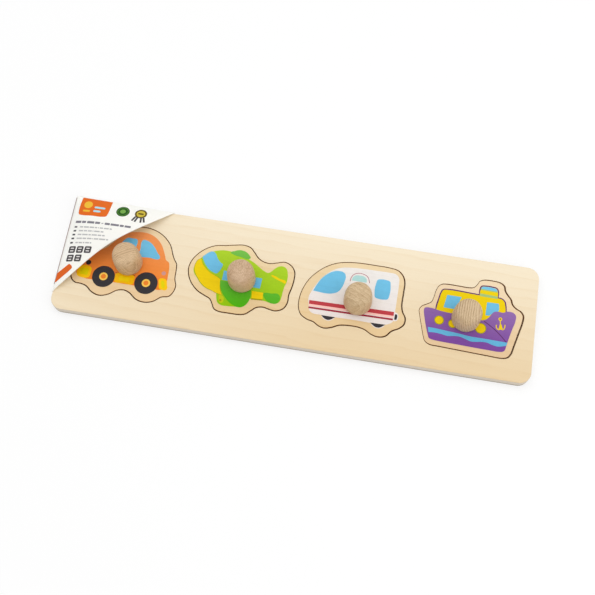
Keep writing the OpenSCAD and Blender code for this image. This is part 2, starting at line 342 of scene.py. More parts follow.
knobWoods = {  # how each knob was cut from its stick, and its own tone
    "car": {"turn": (12, 8, -34), "pale": tone(232, 202, 162), "rings": 1.7, "ringShare": 0.3},
    "plane": {"turn": (20, 78, 84), "pale": tone(230, 200, 168), "ringShare": 0.12, "pores": 0.95},
    "van": {"turn": (14, 6, 24), "rings": 3.6, "ringShare": 0.2, "deep": tone(158, 124, 82)},
    "ship": {"turn": (6, 14, 92), "deep": tone(146, 110, 72), "ringShare": 0.42, "bend": 2.0},
}

boardWood = makeWood("boardWood", boardLook)
backWood = makeWood("backWood", backLook)
plySide = makePlySide("plySide", sideLook)
shadedBackSide = makePlySide("shadedBackSide", shadedBackSideLook)
burntCut = makeBurntCut("burntCut", burntLook)
cardStock = makeCard("cardStock", cardLook)
screwSteel = makeSteel("screwSteel", steelLook)

# Each ink: its slot, its tone at the far side and, where it differs, at the near side
inks = {
    "orange": ("print_orange", (243, 152, 88), (239, 130, 30)),
    "amber": ("print_yellow", (245, 192, 16), (245, 184, 0)),
    "yellow": ("print_yellow", (240, 211, 8), (240, 204, 0)),
    "gold": ("print_yellow", (250, 198, 16), (252, 200, 8)),
    "honey": ("print_yellow", (252, 206, 92), (252, 204, 88)),
    "acid": ("print_yellow", (228, 214, 6), (226, 210, 0)),
    "lemon": ("print_yellow", (200, 206, 24), (194, 198, 14)),
    "blue": ("print_blue", (119, 199, 236), (98, 176, 214)),
    "sea": ("print_lime", (166, 198, 128)),
    "teal": ("print_blue", (180, 222, 220), (160, 210, 210)),
    "lime": ("print_lime", (176, 214, 46), (146, 194, 0)),
    "olive": ("print_lime", (176, 170, 20), (160, 150, 10)),
    "green": ("print_green", (118, 193, 78), (76, 176, 2)),
    "white": ("print_white", (240, 236, 232), (236, 226, 222)),
    "pink": ("print_white", (252, 200, 190)),
    "red": ("print_red", (195, 68, 75), (190, 64, 71)),
    "wine": ("print_red", (168, 56, 70), (160, 48, 64)),
    "mauve": ("print_red", (176, 104, 120), (170, 96, 108)),
    "rose": ("print_red", (206, 152, 142)),
    "purple": ("print_purple", (158, 122, 181), (124, 74, 157)),
    "plum": ("print_purple", (98, 54, 108), (98, 50, 106)),
    "navy": ("print_dark", (54, 51, 57), (54, 51, 54)),
    "brown": ("print_dark", (176, 88, 40), (172, 84, 36)),
    "cardOrange": ("card_print", (228, 108, 34), (222, 100, 34)),
    "cardAmber": ("card_print", (240, 190, 60)),
    "cardGreen": ("card_print", (44, 92, 32)),
    "cardLeaf": ("card_print", (118, 170, 76)),
    "cardGold": ("card_print", (208, 186, 66)),
    "cardBronze": ("card_print", (104, 88, 28)),
    "cardDark": ("card_print", (82, 78, 80), (78, 74, 76)),
    "cardSlate": ("card_print", (130, 128, 136)),
    "cardGrey": ("card_print", (190, 188, 188)),
    "cardWhite": ("card_print", (238, 236, 232)),
    "cardSky": ("card_print", (176, 224, 236)),
    # painted shade along the card's left fold
    "cardFoldShade": ("card_print", (178, 160, 156)),
}
inkMaterials = {name: makeInk(name + "Ink", inkLook, tone(*ink[1]), tone(*ink[-1]))
    for name, ink in inks.items()}
print("materials made")


smoothUpTo = 38  # degrees between faces, past which an edge shows


def finishPiece(name, mesh, body, materials, replaced=()):
    for material in materials:
        mesh.materials.append(material)
    if "custom_normal" in mesh.attributes:
        mesh.attributes.remove(mesh.attributes["custom_normal"])
    mesh.polygons.foreach_set("use_smooth", [True] * len(mesh.polygons))
    mesh.set_sharp_from_angle(angle=math.radians(smoothUpTo))
    piece = addObject(name, mesh)
    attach(piece, body)
    if replaced:
        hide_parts(*replaced)
    return piece


def meshFrom(bm, name):
    mesh = bpy.data.meshes.new(name)
    bm.to_mesh(mesh)
    bm.free()
    return mesh


# Plates: the CAD outline with a rim let in along each edge, then rounded by groups
plateLook = {
    "rim": 1.0, "outerRound": 0.7, "cutRound": 0.22, "seamRound": 0.12, "footRound": 0.5,
    "outerX": 194.0, "outerY": 38.0,  # beyond these a wall is the board's outer side
    "boreClear": 5.0,  # edges nearer to a knob's middle stay sharp
    "weld": 0.001, "level": 0.01,  # nearer points are joined, or lie at one height
    "flatTurn": 0.5, "edgeTurn": 60,  # degrees: flatter is one face, steeper is rounded
    "capSlope": 0.99, "wallSlope": 0.6, "capArea": 100.0,  # a cap past this area counts anywhere
}


def isOuter(point):
    return abs(point.x) > plateLook["outerX"] * mm or abs(point.y) > plateLook["outerY"] * mm


def atHeight(point, height):
    return abs(point.z - height) < plateLook["level"] * mm


def nearBore(point, bores):
    return any((point.xy - bore).length < plateLook["boreClear"] * mm for bore in bores)


def plateFrom(node, bores=()):
    bm = bmesh.new()
    bm.from_mesh(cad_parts[node].data)
    bmesh.ops.remove_doubles(bm, verts=bm.verts, dist=plateLook["weld"] * mm)
    bmesh.ops.dissolve_limit(bm, angle_limit=math.radians(plateLook["flatTurn"]),
        verts=bm.verts, edges=bm.edges)
    for side in (1, -1):
        caps = [f for f in bm.faces if f.normal.z * side > plateLook["capSlope"]
            and (not nearBore(f.calc_center_median(), bores)
                or f.calc_area() > plateLook["capArea"] * mm * mm)]
        bmesh.ops.inset_region(bm, faces=caps, use_even_offset=True, use_boundary=True,
            thickness=plateLook["rim"] * mm)
    return bm


def roundEdges(bm, radius, chosen, steps=3):
    edges = [e for e in bm.edges if len(e.link_faces) == 2
        and e.calc_face_angle(0) > math.radians(plateLook["edgeTurn"])
        and chosen((e.verts[0].co + e.verts[1].co) / 2)]
    if edges:
        bmesh.ops.bevel(bm, geom=edges, offset=radius * mm, offset_type="OFFSET", affect="EDGES",
            segments=steps, profile=0.5, material=-1, clamp_overlap=True)


def markWalls(bm, pick):  # pick gives a wall's material from the wall's middle
    for face in bm.faces:
        if abs(face.normal.z) < plateLook["wallSlope"]:
            face.material_index = pick(face.calc_center_median())


def makeBoards():
    bm = plateFrom("frame_board")
    roundEdges(bm, plateLook["outerRound"], lambda p: isOuter(p) and atHeight(p, boardTop))
    roundEdges(bm, plateLook["seamRound"], lambda p: isOuter(p) and atHeight(p, backTop), 1)
    roundEdges(bm, plateLook["cutRound"], lambda p: not isOuter(p) and atHeight(p, boardTop), 2)
    markWalls(bm, lambda p: 1 if isOuter(p) else 2)
    finishPiece("frame_board_wood", meshFrom(bm, "frame_board_wood"), "board",
        [boardWood, plySide, burntCut], ["frame_board"])
    bm = plateFrom("backing_board")
    roundEdges(bm, plateLook["seamRound"], lambda p: atHeight(p, backTop), 1)
    roundEdges(bm, plateLook["footRound"], lambda p: atHeight(p, 0))
    markWalls(bm, lambda p: 1)
    finishPiece("backing_board_wood", meshFrom(bm, "backing_board_wood"), "board",
        [backWood, shadedBackSide], ["backing_board"])


def middle(node):
    low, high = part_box(node)
    return (low + high) / 2


def makeFigure(body):
    bore = middle(body + "_knob").xy
    bm = plateFrom(body + "_piece", [bore])
    for height in (boardTop, backTop):
        roundEdges(bm, plateLook["cutRound"],
            lambda p: atHeight(p, height) and not nearBore(p, [bore]), 2)
    markWalls(bm, lambda p: 0 if nearBore(p, [bore]) else 1)
    finishPiece(body + "_figure", meshFrom(bm, body + "_figure"), body,
        [makeWood(body + "FigureWood", dict(figureLook, **figureWoods[body])), burntCut],
        [body + "_piece"])


makeBoards()
for body in ("car", "plane", "van", "ship"):
    makeFigure(body)
print("boards and figures made")


# Printed shapes. Points are in mm on the board, and a third value of 1 marks a sharp corner.
printLook = {"layer": 0.05, "sunk": 0.05, "weld": 0.01, "smooth": 8,
    "stagger": 0.01}  # a share of a layer


def disc(x, y, radius):
    return [(x + radius * math.cos(k * math.pi / 4), y + radius * math.sin(k * math.pi / 4))
        for k in range(8)]


def grown(points, distance):  # the outline moved outwards, whichever way round it runs
    turn = sum(a[0] * b[1] - b[0] * a[1] for a, b in zip(points, points[1:] + points[:1]))
    side = distance if turn > 0 else -distance
    moved = []
    for before, point, after in zip(points[-1:] + points[:-1], points, points[1:] + points[:1]):
        run = Vector((after[0] - before[0], after[1] - before[1])).normalized()
        moved.append((point[0] + run.y * side, point[1] - run.x * side) + tuple(point[2:]))
    return moved


def stroke(points, width):  # a band of even width along an open line
    left, right = [], []
    for k, point in enumerate(points):
        before, after = points[max(k - 1, 0)], points[min(k + 1, len(points) - 1)]
        run = Vector((after[0] - before[0], after[1] - before[1])).normalized()
        corner = (1,) if k in (0, len(points) - 1) else ()
        for side, edge in ((1, left), (-1, right)):
            edge.append((point[0] - run.y * side * width / 2,
                point[1] + run.x * side * width / 2) + corner)
    return left + right[::-1]


def addSpline(curve, points):
    spline = curve.splines.new("BEZIER")
    spline.bezier_points.add(len(points) - 1)
    spline.use_cyclic_u = True
    spline.resolution_u = printLook["smooth"]
    for knot, point in zip(spline.bezier_points, points):
        knot.co = (point[0] * mm, point[1] * mm, 0)
        kind = "VECTOR" if len(point) > 2 and point[2] else "AUTO"
        knot.handle_left_type = knot.handle_right_type = kind


def slabFrom(points, layer):  # a closed flat slab, sunk below zero, with its top on its layer
    curve = bpy.data.curves.new("outline", "CURVE")
    curve.dimensions = "2D"
    curve.fill_mode = "BOTH"
    addSpline(curve, points)
    holder = addObject("outline", curve)
    bpy.context.view_layer.update()
    flat = bpy.data.meshes.new_from_object(holder.evaluated_get(
        bpy.context.evaluated_depsgraph_get()))
    bpy.data.objects.remove(holder)
    bpy.data.curves.remove(curve)
    bm = bmesh.new()
    bm.from_mesh(flat)
    bpy.data.meshes.remove(flat)
    bmesh.ops.remove_doubles(bm, verts=bm.verts, dist=printLook["weld"] * mm)
    bottom = -printLook["sunk"] * mm
    bmesh.ops.translate(bm, verts=bm.verts, vec=(0, 0, bottom))
    made = bmesh.ops.extrude_face_region(bm, geom=bm.faces[:])
    raised = [g for g in made["geom"] if isinstance(g, bmesh.types.BMVert)]
    bmesh.ops.translate(bm, verts=raised, vec=(0, 0, layer * printLook["layer"] * mm - bottom))
    bmesh.ops.recalc_face_normals(bm, faces=bm.faces)
    return bm


def joinInto(target, part):
    mesh = meshFrom(part, "part")
    target.from_mesh(mesh)
    bpy.data.meshes.remove(mesh)


def printShapes(body, shapes, settle=None):  # one piece for each ink of a body
    byInk = {}
    for order, (ink, layer, points) in enumerate(shapes):  # no two tops lie at one height
        byInk.setdefault(ink, []).append((layer + order * printLook["stagger"], points))
    for ink, group in byInk.items():
        joined = bmesh.new()
        for layer, points in group:
            part = slabFrom(points, layer)
            if settle:
                settle(part)
            else:
                bmesh.ops.translate(part, verts=part.verts, vec=(0, 0, boardTop))
            joinInto(joined, part)
        name = f"{body}_{ink}_print"
        finishPiece(name, meshFrom(joined, name), body, [inkMaterials[ink]])


carBody = [
    (-184, -6), (-182, -3), (-178, 1.5), (-172.5, 5), (-165, 9), (-159, 16), (-153, 23.5), (-147, 27),
    (-143, 28), (-137, 28.7), (-131, 28.2), (-125, 25.8), (-120, 21.8), (-116.5, 17),
    (-113.5, 11), (-111.5, 6.8), (-108.8, 5), (-107.8, 2.5), (-106.8, -7), (-106.6, -12),
    (-107, -18), (-110, -20.2), (-120, -20.3), (-140, -20.1), (-160, -20.1), (-178, -20), (-182.5, -18),
    (-184.2, -13)]
carRearWindow = [
    (-135.5, 20.5), (-134.5, 21.8), (-131.5, 21.7), (-127.5, 20), (-124, 17), (-120.5, 12.5),
    (-117.1, 7.8), (-117.8, 6.6), (-126, 6.6), (-134, 6.8), (-135, 8), (-135.3, 14)]
carFrontWindow = [
    (-148.5, 21.3), (-144, 21.7), (-140.2, 21.5), (-139.3, 20.3), (-139.3, 14), (-139.5, 8),
    (-140.6, 7), (-148, 7.2), (-154.8, 7.4), (-156, 8.8), (-153, 14.5)]
carShapes = [
    ("orange", 1, carBody),
    ("blue", 2, carRearWindow),
    ("blue", 2, carFrontWindow),
    ("brown", 2, stroke([(-151, -11.4), (-142.5, -11.7), (-134, -11.4)], 0.8)),
    ("amber", 2, [(-150, -12), (-142, -12.1), (-134.5, -12), (-134, -15), (-134.6, -19.2),
        (-142, -19.5), (-149.8, -19.2), (-150.4, -16)]),
    ("yellow", 3, [(-146.6, -13.8), (-142, -13.9), (-138, -13.8), (-137.6, -15.8),
        (-138.2, -17.6), (-142, -17.8), (-146.4, -17.6), (-146.9, -15.8)]),
    ("gold", 2, [(-113.4, -11.4), (-112.2, -10.2), (-108.2, -10.4), (-106.9, -11.6),
        (-105.8, -15), (-105, -18.4), (-105.9, -19.8), (-109.7, -20), (-111.5, -19.2),
        (-112.8, -15.2)]),
    ("acid", 3, [(-111.2, -12.6), (-110.1, -11.9), (-108.9, -12.5), (-107.9, -15),
        (-107.4, -17.6), (-108.2, -18.4), (-109.6, -17.9), (-110.7, -15.2)]),
    ("gold", 2, [(-182.6, -10.8), (-181, -9.6), (-173, -9.6), (-171.7, -10.8), (-171.4, -14.5),
        (-171.8, -18.3), (-173.2, -19.5), (-181, -19.5), (-182.5, -18.4), (-182.9, -14.5)]),
    ("acid", 3, [(-180.2, -12), (-177, -11.7), (-174, -12), (-173.6, -14.5),
        (-174, -17), (-177, -17.3), (-180.2, -17), (-180.6, -14.5)]),
    ("rose", 2, disc(-110.8, -5.3, 1.8)),
    ("navy", 2, disc(-175.5, -6, 2.2)),
]
for x, radius in ((-123.5, 9.7), (-160, 9.5)):
    carShapes += [("navy", 3, disc(x, -16.4, radius)), ("honey", 4, disc(x, -16.4, 3.5)),
        ("orange", 5, disc(x, -16.4, 2.1))]

planeBody = [
    (-86.6, 1), (-86.8, 6), (-85.5, 10), (-83, 13.5), (-78, 18.5), (-75, 20.5), (-68, 23.2),
    (-62, 23.8), (-57, 23.2), (-50, 21.8), (-42, 18.6), (-38, 16.7), (-33, 13.5), (-28, 10.5),
    (-24.5, 9.6), (-22, 11.5), (-19.5, 14.5), (-16.5, 16.8), (-13, 17.3), (-10, 15.5),
    (-8.5, 12), (-7.8, 7.5), (-8, 3.5), (-9, 0), (-9.6, -5), (-9.9, -10), (-11.4, -15),
    (-16, -16.6), (-24, -15.6), (-34, -15.8), (-48, -15), (-56, -16), (-59.5, -16.3),
    (-64.5, -15.3), (-68, -14), (-73, -12.6), (-78, -9.5), (-82.5, -4.5)]
planeBelly = [
    (-86.4, 4), (-86.2, 8), (-84.7, 11.6), (-82.6, 13, 1), (-80.2, 8.5), (-77, 5), (-73, 2),
    (-68.5, 0), (-65, -1.5), (-62.6, -3.4), (-62.6, -6), (-61.9, -10), (-60.6, -13.5),
    (-58.8, -16.2, 1), (-64.5, -15), (-68, -13.6), (-73, -12), (-77.7, -9), (-82, -4.2), (-85, 0)]
planeCockpit = [
    (-81.6, 14.6), (-79.5, 17.5), (-76.5, 20.2), (-74, 21), (-71.5, 19.5), (-69, 15.5),
    (-65.5, 12), (-63.8, 11), (-64.2, 7), (-65.8, 3.5), (-67.2, 2), (-70, 2.5), (-74, 4.5),
    (-78, 8.5), (-80.3, 12)]
nearWing = [
    (-63, -3.5, 1), (-61.8, -9), (-59.5, -13.5), (-56, -17.8), (-52.5, -21), (-48, -23.5),
    (-44, -24.6), (-40.5, -23.8), (-37.5, -21), (-35.8, -17), (-35.3, -12), (-36, -8, 1),
    (-48, -4, 1)]
farWing = [(-59, 22.6), (-56, 24.5), (-53, 25.8), (-49.5, 26), (-46, 25), (-43.5, 23),
    (-41.8, 20.6), (-43, 19.2), (-50, 20), (-57, 21.4)]
tailplane = [
    (-25.2, -9), (-24, -8.5), (-18, -8.2), (-14, -7.6), (-12.6, -8.2), (-11.2, -10),
    (-11, -13), (-12.5, -15.8), (-16, -16.8), (-20, -16), (-23.5, -13.2)]
landingLeg = [(-64, -15, 1), (-62.8, -20), (-61.5, -23), (-59, -24.8), (-52, -25.1),
    (-45, -24.4, 1), (-52, -19, 1), (-58, -14.5, 1)]
planeShapes = [
    ("lime", 1, landingLeg),
    ("lemon", 2, [(-60.8, -15.5), (-58, -17), (-56.6, -20), (-58.3, -23.3), (-60.3, -22),
        (-61, -19)]),
    ("olive", 3, disc(-59.3, -21, 0.9)),
    ("lime", 2, planeBody),
    ("olive", 3, grown(planeBelly, 0.35)),
    ("yellow", 4, planeBelly),
    ("blue", 5, planeCockpit),
    ("green", 4, farWing),
    ("blue", 3, [(-61.5, -3, 1), (-54.5, -3, 1), (-54.5, 5.5, 1), (-61.5, 5.5, 1)]),
    ("blue", 3, [(-36, -5.3, 1), (-28.9, -5.3, 1), (-28.6, 3.8, 1), (-36, 3.8, 1)]),
    ("olive", 3, [(-34.6, -14.6, 1), (-25, -14, 1), (-24.9, -15.6, 1), (-34.3, -16.2, 1)]),
    ("yellow", 4, [(-35, -8.6, 1), (-25.4, -8.6, 1), (-25, -14.4, 1), (-34.2, -15, 1)]),
    ("green", 5, nearWing),
    ("green", 5, tailplane),
    ("yellow", 3, [(-21.5, 7.8), (-19.5, 6.2), (-12, 3.4), (-8.9, 2.5), (-8.7, 4.3),
        (-14, 5.8), (-19, 7.8)]),
]

vanBody = [
    (12.3, -6), (14, 0), (16.5, 6), (20, 12), (25, 18), (30, 22), (35, 24.3), (42, 25.6),
    (52, 26.3), (65, 26.5), (76, 26.5), (81, 25.8), (83.7, 23), (84.3, 18), (84.4, 5),
    (84.3, -6), (83.8, -15.5), (80, -18.8), (77.5, -19.6), (50, -19.8), (24, -19.8),
    (17, -19.2), (14.5, -17), (13.2, -12)]
windshield = [
    (14.9, 0.2, 1), (17, 6), (20, 12), (25, 17.5), (30, 20.5), (34, 21.2), (38, 20.3),
    (39.8, 17.5), (39.5, 12), (38, 6.5), (35.5, 2.5), (31.5, 0.3), (26, -0.6), (19, -0.2)]
rearWindow = [
    (65.6, 5), (65.7, 16.2), (66.5, 18.6), (68.8, 19.4), (74.4, 19.4), (76.7, 18.6),
    (77.5, 16.2), (77.6, 5), (76.8, 2.8), (74.4, 2), (68.8, 2), (66.4, 2.8)]
vanWheels = [
    [(25, -20, 1), (26.5, -21.4), (28.5, -22.7), (30.8, -23.3), (33, -22.7), (35, -21.3),
        (36.6, -20, 1)],
    [(65.7, -19.8, 1), (67.5, -21.3), (69.5, -22.6), (71.8, -23.1), (74.3, -22.5), (76.3, -21),
        (78, -19.6, 1)]]
vanShapes = [
    ("white", 1, vanBody),
    ("white", 1, grown(vanWheels[0], 0.6)),
    ("white", 1, grown(vanWheels[1], 0.6)),
    ("navy", 2, vanWheels[0]),
    ("navy", 2, vanWheels[1]),
    ("blue", 2, grown(windshield, -0.1)),
    ("teal", 2, [(45.3, 14.5, 1), (45.6, 17), (47.4, 19.2), (51.5, 19.9), (55.6, 19.2),
        (57.4, 17), (57.7, 14.5, 1)]),
    ("mauve", 2, stroke([(43.9, 13.5), (44.6, 17.5), (46.5, 20.3), (50, 21.8), (54, 21.6),
        (57.5, 20), (59.2, 17.5), (60, 14.5)], 0.5)),
    ("blue", 2, rearWindow),
    ("red", 2, [(13.2, -8.6, 1), (83.6, -7.4, 1), (83.6, -10.9, 1), (13.5, -11.9, 1)]),
    ("pink", 2, [(13.5, -11.9, 1), (83.6, -10.9, 1), (83.6, -12.6, 1), (13.6, -13.7, 1)]),
    ("wine", 2, stroke([(13.6, -15), (50, -14.6), (83.4, -14.1)], 1.6)),
    ("white", 1, [(83.2, -8.2), (86.4, -8.2), (87.2, -9.4), (87.2, -13.6), (86.4, -14.8),
        (83.2, -14.8)]),
    ("navy", 2, [(84.6, -9.3, 1), (86.1, -9.3), (86.5, -10), (86.5, -13), (86.1, -13.9),
        (84.4, -13.9, 1)]),
]

hull = [
    (107.6, -0.3), (108.3, 0.7), (110, 1.2), (113, 1.2), (116, 0.9), (120, 0), (140, -1.2),
    (153, -2.7), (157, -2.2), (160.5, 0.8), (162.5, 4), (164.5, 6.3), (168, 6.9), (172, 6.8),
    (174, 8), (177, 8.4), (180, 7.8), (182, 5.8), (182.2, 2), (180, -7), (178, -15),
    (176.5, -22), (175.8, -25), (174.5, -26.5), (171, -27.3), (165, -27.3), (140, -26.7),
    (116, -25.6), (114.2, -24.7), (113, -22), (111, -16), (109, -9)]
cabin = [
    (117.1, -1, 1), (117.6, 3), (118.9, 10.6), (120.1, 16.2), (121.3, 18.5), (123.8, 19.2),
    (150, 18.8), (166.6, 18.6), (169.6, 18.1), (171.6, 16.4), (172.6, 13.6), (173.6, 7, 1),
    (160, -4, 1)]
funnel = [(151.1, 18.2, 1), (151.6, 24.6), (152.5, 26.7), (155, 27.3), (161.6, 27.3),
    (164.2, 26.8), (165.4, 25.2), (166.1, 18, 1)]
waveStripe = [
    (112.3, -15.7, 1), (118, -15.8), (125, -16.3), (132, -16.8), (139, -17.3), (145, -18),
    (160, -18.2), (177.2, -18.5, 1), (176.5, -21.3, 1), (170, -23), (166, -22.6), (161, -21.2),
    (157, -21.2), (152, -22), (148, -22.3), (143, -20.9), (139, -19.8), (134, -20),
    (129, -20.7), (123, -19.9), (118, -19.6), (113.3, -19.9, 1)]
anchorArms = [
    (167.1, -4.7), (167.1, -6.2), (167.7, -7.6), (169.2, -8.5), (170.8, -7.8), (172.4, -8.1),
    (173.6, -7), (174, -5.2), (174, -3.5)]
anchorCrown = [(170.4, -3.6), (169.5, -6.2), (169.5, -8.2), (170.9, -8), (172.1, -7.8),
    (171.8, -5.8)]
shipShapes = [
    ("plum", 1, grown(cabin, 1.05)),
    ("plum", 1, grown(funnel, 1.05)),
    ("yellow", 2, cabin),
    ("yellow", 2, funnel),
    ("blue", 3, [(151.8, 24.8, 1), (152, 25.6), (152.9, 26.7), (155, 27.1), (162, 27.1),
        (164, 26.6), (165, 25.5), (165.3, 24.4, 1)]),
    ("sea", 3, [(151.3, 18.3, 1), (165.9, 18, 1), (165.8, 20.1, 1), (151.4, 20.7, 1)]),
    ("sea", 3, [(151.6, 23.9, 1), (165.6, 23.5, 1), (165.5, 24.5, 1), (151.7, 25, 1)]),
    ("blue", 3, [(123, 3.5, 1), (124.8, 14.8, 1), (136.8, 14.8, 1), (133, 3.3, 1)]),
    ("blue", 3, [(157.5, 2.2, 1), (157.8, 13.8, 1), (167.3, 14, 1), (168, 11), (167.5, 7),
        (163, 4.5), (160.5, 2.2, 1)]),
    ("purple", 4, hull),
    ("blue", 5, waveStripe),
    # painted shade: a dark line along the bow, at the edge of a streak of reflected light across the
    # hull
    ("plum", 5, stroke([(157, -3.2), (165, -8.2), (172, -14), (176.4, -18.4)], 0.7)),
    ("yellow", 5, disc(169.8, 0.8, 1.5)),
    ("plum", 6, disc(169.8, 0.8, 0.6)),
    ("yellow", 5, stroke([(169.8, -0.2), (170.3, -4), (170.7, -8)], 0.8)),
    ("yellow", 5, anchorCrown),
    ("yellow", 5, stroke(anchorArms, 0.8)),
]
for x, y, radius in ((120.7, -8.3, 3.9), (132, -9.5, 3.8), (154.7, -9.8, 4.6)):
    shipShapes += [("olive", 5, disc(x, y, radius)), ("yellow", 6, disc(x, y, radius - 0.7))]

for body, shapes in (("car", carShapes), ("plane", planeShapes), ("van", vanShapes),
        ("ship", shipShapes)):
    printShapes(body, shapes)
print("prints made")


def finishNode(node, material):
    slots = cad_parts[node].data.materials
    slots.clear()
    slots.append(material)


for body, change in knobWoods.items():
    finishNode(body + "_knob", makeWood(body + "KnobWood", dict(knobLook, **change)))
    finishNode(body + "_screw", screwSteel)
print("knobs and screws finished")


# Card folded over the far left corner, lengths in mm
cardShape = {
    "thick": 0.4, "cornerOut": 1.5, "cornerRise": 2.0,
    "foldRound": 0.8, "flapStart": 3.0, "flapFoot": 0.8, "flapSlant": 8.0,
    "ease": 3.0,  # how far the folds' rounds are eased in, in fold radii
    "across": 48, "along": 28, "foldSteps": 4, "weld": 0.01,
    "drape": 2.0, "foldCuts": (0.2, 0.4, 0.6, 0.8), "cutWeld": 0.002, "halvings": 30,
}
labelLow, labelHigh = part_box("corner_label")
cardTip = Vector((labelLow.x, labelHigh.y, boardTop + cardShape["cornerRise"] * mm))
foldX = labelLow.x + cardShape["cornerOut"] * mm
foldY = labelHigh.y - cardShape["cornerOut"] * mm
cardLeg = labelHigh.x - foldX
cardSide = foldY - labelLow.y
cardBow = labelHigh.z - boardTop - cardShape["thick"] * mm


def cardEdge(s):  # the free edge, from the far fold at 0 to the left fold at 1
    flat = Vector((cardLeg * (1 - s), -cardSide * s))
    rise = cardBow * math.sin(math.pi * s)
    part = math.sqrt(1 - (rise / flat.length) ** 2)
    return Vector((foldX + flat.x * part, foldY + flat.y * part, boardTop + rise))


def foldLine(end):  # run along the fold and the way out from the board
    run = (cardEdge(end) - cardTip).to_2d().normalized()
    return run, Vector((-run.y, run.x)) if end == 0 else Vector((run.y, -run.x))


def easedIn(point):  # makes room for the rounded folds beside both fold lines
    reach = cardShape["ease"] * cardShape["foldRound"] * mm
    moved = point.copy()
    for end in (0, 1):
        run, out = foldLine(end)
        inside = (cardTip.to_2d() - point.to_2d()).dot(out)
        if inside < reach:
            shift = cardShape["foldRound"] * mm * (1 - inside / reach)
            moved.x -= out.x * shift
            moved.y -= out.y * shift
    return moved


def makeCardSheet(shape):
    bm = bmesh.new()
    bmesh.ops.create_grid(bm, x_segments=shape["across"], y_segments=shape["along"], size=0.5)
    first = shape["flapStart"] * mm / (cardEdge(1) - cardTip).length
    folds = {0: [], 1: []}
    rows = shape["along"]
    for vert in bm.verts:
        s = vert.co.x + 0.5
        row = round((vert.co.y + 0.5) * rows)
        t = row * first if row < 2 else first + (1 - first) * (row - 1) / (rows - 1)
        for end in (0, 1):
            if abs(s - end) < 0.001 and row > 0:
                folds[end].append((t, vert))
        spot = cardTip + (cardEdge(s) - cardTip) * t
        vert.co = easedIn(spot) + Vector((0, 0, shape["thick"] * mm / 2))
    for end in (0, 1):
        makeFlap(bm, shape, end, sorted(folds[end], key=lambda pair: pair[0]))
    bmesh.ops.remove_doubles(bm, verts=bm.verts, dist=shape["weld"] * mm)
    bmesh.ops.recalc_face_normals(bm, faces=bm.faces)
    if sum(f.normal.z for f in bm.faces) < 0:
        bmesh.ops.reverse_faces(bm, faces=bm.faces)
    piece = finishPiece("corner_card", meshFrom(bm, "corner_card"), "label",
        [cardStock], ["corner_label"])
    wall = piece.modifiers.new("cardThickness", "SOLIDIFY")
    wall.thickness = shape["thick"] * mm
    wall.offset = 0
    wall.use_even_offset = True


def makeFlap(bm, shape, end, pairs):
    run, out = foldLine(end)
    thick, radius = shape["thick"] * mm, shape["foldRound"] * mm
    length = (cardEdge(end) - cardTip).to_2d().length
    start = shape["flapStart"] * mm
    marks = [t for t, vert in pairs]
    line = [vert for t, vert in pairs]
    for step in range(1, shape["foldSteps"] + 2):
        edges = [bm.edges.get((a, b)) for a, b in zip(line, line[1:])]
        made = bmesh.ops.extrude_edge_only(bm, edges=edges)["geom"]
        fresh = [g for g in made if isinstance(g, bmesh.types.BMVert)]
        line = [min(fresh, key=lambda v: (v.co - old.co).length) for old in line]
        for t, vert in zip(marks, line):
            fold = cardTip + (cardEdge(end) - cardTip) * t
            if step <= shape["foldSteps"]:
                angle = math.pi / 2 * step / shape["foldSteps"]
                away = out * (radius - thick / 2) * math.sin(angle) - out * radius
                height = fold.z + thick - radius + (radius - thick / 2) * math.cos(angle)
                vert.co = (fold.x + away.x, fold.y + away.y, height)
            else:
                u = t * length
                low = start + (u - start) * (length - shape["flapSlant"] * mm - start) / (
                    length - start)
                foot = cardTip.to_2d() + run * low - out * thick / 2
                vert.co = (foot.x, foot.y, shape["flapFoot"] * mm)


def cardTopAt(x, y):  # height of the card's upper side, found along its straight lines
    away = Vector((x, y)) - cardTip.to_2d()
    angle = math.atan2(-away.y, away.x)
    low, high = 0.0, 1.0
    for _ in range(cardShape["halvings"]):
        s = (low + high) / 2
        ray = (cardEdge(s) - cardTip).to_2d()
        if math.atan2(-ray.y, ray.x) < angle:
            low = s
        else:
            high = s
    edge = cardEdge(low)
    share = away.length / (edge - cardTip).to_2d().length
    top = cardTip.z + share * (edge.z - cardTip.z) + cardShape["thick"] * mm
    radius = cardShape["foldRound"] * mm
    into = radius + away.dot(foldLine(1)[1])  # how far into the left fold's round
    if into <= 0:
        return top
    return top - radius + math.sqrt(radius ** 2 - into ** 2)


def cutAt(bm, place, normal):
    bmesh.ops.bisect_plane(bm, geom=bm.verts[:] + bm.edges[:] + bm.faces[:], plane_co=place,
        plane_no=normal)


def drapeOnCard(bm):
    step = cardShape["drape"] * mm
    for axis in (0, 1):
        spread = [v.co[axis] for v in bm.verts]
        normal = (1, 0, 0) if axis == 0 else (0, 1, 0)
        cut = math.floor(min(spread) / step) + 1
        while cut * step < max(spread):
            cutAt(bm, [n * cut * step for n in normal], normal)
            cut += 1
    out = foldLine(1)[1].to_3d()
    for inside in cardShape["foldCuts"]:
        cutAt(bm, cardTip.to_2d().to_3d() - out * inside * mm, out)
    bmesh.ops.remove_doubles(bm, verts=bm.verts, dist=cardShape["cutWeld"] * mm)
    for vert in bm.verts:
        vert.co.z += cardTopAt(vert.co.x, vert.co.y)


def bar(x0, x1, y, tall, soft=0.25):  # a straight bar with its corners cut off by soft
    low, high = y - tall / 2, y + tall / 2
    return [(x0 + soft, low, 1), (x1 - soft, low, 1), (x1, low + soft, 1), (x1, high - soft, 1),
        (x1 - soft, high, 1), (x0 + soft, high, 1), (x0, high - soft, 1), (x0, low + soft, 1)]


def addBars(ink, x, y, tall, widths, space):  # plain bars in a row
    for width in widths:
        cardShapes.append((ink, 1, bar(x, x + width, y, tall)))
        x += width + space


